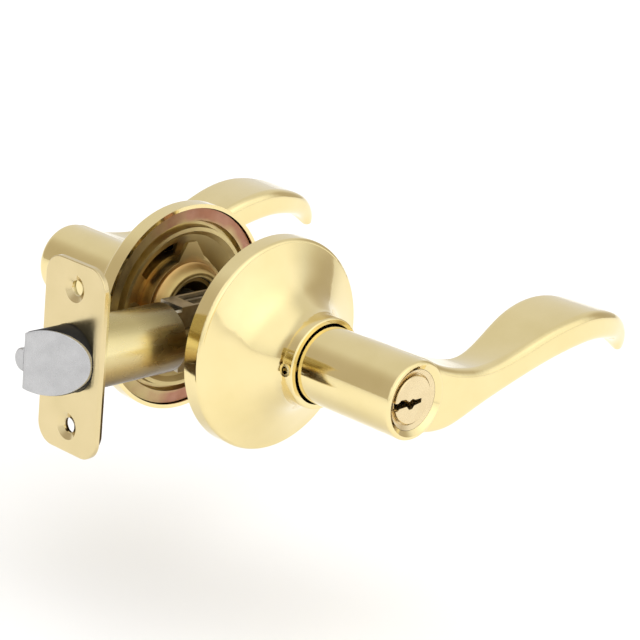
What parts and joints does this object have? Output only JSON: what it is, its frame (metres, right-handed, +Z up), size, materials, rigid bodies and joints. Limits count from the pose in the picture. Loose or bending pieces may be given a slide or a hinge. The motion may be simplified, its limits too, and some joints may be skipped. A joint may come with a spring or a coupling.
{
  "type": "lever handle lockset",
  "caption": "Keyed entry door lockset with two wave levers, round rosettes, key cylinder, turn button and a spring latch with a bevelled bolt and deadlatch plunger.",
  "frame": {"origin": "where the spindle axis meets the latch axis, half way through a 35 mm door", "axes": "+Y along the spindle axis towards the inside of the door, -X along the latch axis towards the door's edge, +Z up"},
  "size_m": [0.1778, 0.1596, 0.065],
  "materials": {
    "bright_brass": "polished",
    "cylinder_brass": "satin",
    "zinc_yellow": "yellow chromate zinc plate",
    "latch_tube_zinc": "satin yellow zinc plate",
    "zinc_grey": "clear zinc plate",
    "bolt_nickel": "satin nickel plate",
    "black_plastic": "moulded",
    "spring_steel": "bright wire"
  },
  "bodies": {
    "door_trim": {"outside_rosette": "bright_brass", "inside_rosette": "bright_brass", "outside_mounting_plate": "zinc_yellow", "inside_mounting_plate": "zinc_yellow", "outside_spring_cage": "zinc_yellow", "inside_spring_cage": "zinc_yellow", "outside_spring_cover": "zinc_yellow", "inside_spring_cover": "zinc_yellow", "outside_return_spring": "spring_steel", "inside_return_spring": "spring_steel", "mounting_posts": "zinc_yellow", "mounting_screws": "zinc_yellow", "faceplate": "bright_brass", "backing_plate": "latch_tube_zinc", "latch_tube": "latch_tube_zinc", "spring_seat": "zinc_grey", "latch_case": "zinc_grey"},
    "outside_handle": {"outside_lever": "bright_brass", "outside_sleeve": "zinc_yellow", "outside_drive_collar": "zinc_grey", "drive_spindle": "zinc_grey", "cylinder_body": "cylinder_brass", "driver_pins": "cylinder_brass", "pin_springs": "spring_steel"},
    "outside_lever_catch": {"outside_catch": "spring_steel"},
    "plug": {"cylinder_plug": "cylinder_brass", "key_pins": "cylinder_brass", "plug_clip": "spring_steel", "lock_blade": "zinc_grey"},
    "inside_handle": {"inside_lever": "bright_brass", "inside_sleeve": "zinc_yellow", "inside_drive_collar": "zinc_grey"},
    "inside_lever_catch": {"inside_catch": "spring_steel"},
    "button": {"turn_button": "bright_brass", "button_washer": "spring_steel"},
    "cam": {"retractor_cam": "zinc_grey"},
    "bolt": {"bolt_head": "bolt_nickel", "bolt_core": "black_plastic", "bolt_drawbar": "zinc_grey", "bolt_spring": "spring_steel"},
    "plunger": {"deadlatch_plunger": "bolt_nickel", "plunger_spring": "spring_steel"}
  },
  "joints": [
    {"name": "outside_lever_turn", "type": "hinge", "parent": "door_trim", "child": "outside_handle", "pos_m": [0, 0, 0], "axis": [0, 1, 0], "range_deg": [0, 45], "stiffness_Nm_per_rad": 0.6, "springref_deg": -28.65},
    {"name": "inside_lever_turn", "type": "hinge", "parent": "door_trim", "child": "inside_handle", "pos_m": [0, 0, 0], "axis": [0, 1, 0], "range_deg": [0, 45], "stiffness_Nm_per_rad": 0.6, "springref_deg": -28.65},
    {"name": "cam_turn", "type": "hinge", "parent": "door_trim", "child": "cam", "pos_m": [0, 0, 0], "axis": [0, 1, 0], "range_deg": [0, 45]},
    {"name": "bolt_slide", "type": "slide", "parent": "door_trim", "child": "bolt", "axis": [1, 0, 0], "range_m": [0, 0.0127], "deforming": ["bolt_spring"]},
    {"name": "plunger_slide", "type": "slide", "parent": "bolt", "child": "plunger", "axis": [1, 0, 0], "range_m": [0, 0.0118], "stiffness_N_per_m": 60, "springref_m": -0.006, "deforming": ["plunger_spring"]},
    {"name": "plug_turn", "type": "hinge", "parent": "outside_handle", "child": "plug", "pos_m": [0, -0.07, 0], "axis": [0, 1, 0], "range_deg": [0, 90]},
    {"name": "button_turn", "type": "hinge", "parent": "inside_handle", "child": "button", "pos_m": [0, 0.07, 0], "axis": [0, 1, 0], "range_deg": [0, 90]},
    {"name": "outside_catch_push", "type": "slide", "parent": "outside_handle", "child": "outside_lever_catch", "axis": [1, 0, 0], "range_m": [0, 0.0018], "stiffness_N_per_m": 300, "springref_m": -0.002},
    {"name": "inside_catch_push", "type": "slide", "parent": "inside_handle", "child": "inside_lever_catch", "axis": [1, 0, 0], "range_m": [0, 0.0018], "stiffness_N_per_m": 300, "springref_m": -0.002}
  ],
  "couplings": [
    {"joint": "inside_lever_turn", "follows": "outside_lever_turn", "ratio": 1},
    {"joint": "cam_turn", "follows": "outside_lever_turn", "ratio": 1},
    {"joint": "bolt_slide", "follows": "outside_lever_turn", "m_per_rad": 0.01617},
    {"joint": "button_turn", "follows": "plug_turn", "ratio": 1}
  ]
}
